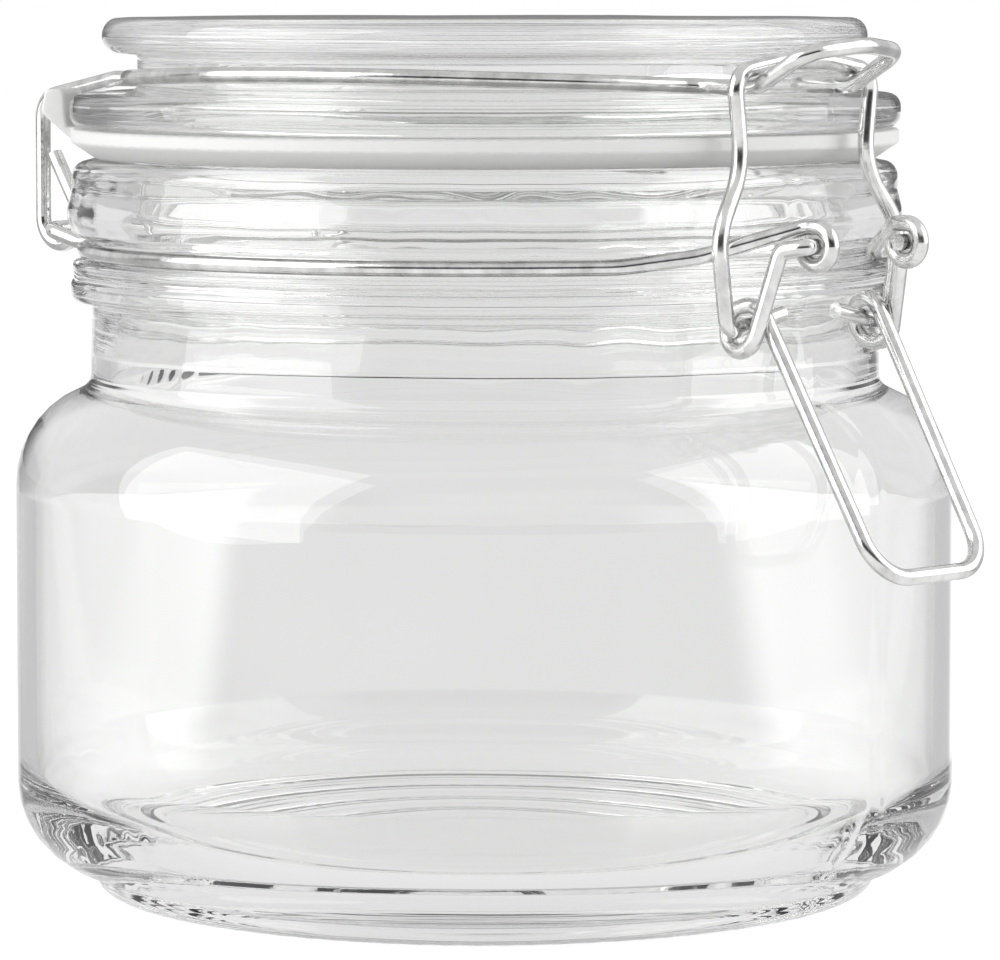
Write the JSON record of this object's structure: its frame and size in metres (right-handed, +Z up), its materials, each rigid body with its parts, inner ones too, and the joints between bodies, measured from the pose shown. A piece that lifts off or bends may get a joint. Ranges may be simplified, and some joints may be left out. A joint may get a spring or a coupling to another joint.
{
  "type": "preserving jar with a hinged glass lid",
  "caption": "Clear glass preserving jar, empty and shut, with a hinged glass lid, a rubber gasket and an over-centre wire clasp.",
  "frame": {"origin": "the jar's axis at the plane it stands on", "axes": "+Z up the jar's axis, +X towards the clasp, -X towards the hinge"},
  "size_m": [0.13, 0.114, 0.1056],
  "materials": {
    "clear_glass": "gloss",
    "wire": "gloss",
    "rubber": "satin"
  },
  "bodies": {
    "jar": {"jar_glass": "clear_glass", "neck_ring": "wire"},
    "lid": {"lid_glass": "clear_glass", "lid_ring": "wire", "gasket": "rubber"},
    "lever": {"lever": "wire"},
    "bail": {"bail": "wire"}
  },
  "joints": [
    {"name": "lid_hinge", "type": "hinge", "parent": "jar", "child": "lid", "pos_m": [-0.0532, 0, 0.0789], "axis": [0, -1, 0], "range_deg": [0, 110]},
    {"name": "lever_hinge", "type": "hinge", "parent": "jar", "child": "lever", "pos_m": [0.06055, 0, 0.08], "axis": [0, -1, 0], "range_deg": [0, 150], "deforming": ["bail"]},
    {"name": "bail_hinge", "type": "hinge", "parent": "lever", "child": "bail", "pos_m": [0.0525, 0, 0.07075], "axis": [0, -1, 0], "range_deg": [-151, 0]}
  ],
  "couplings": [
    {"joint": "lever_hinge", "follows": "lid_hinge", "ratio": 1.36},
    {"joint": "bail_hinge", "follows": "lid_hinge", "ratio": -1.36}
  ]
}
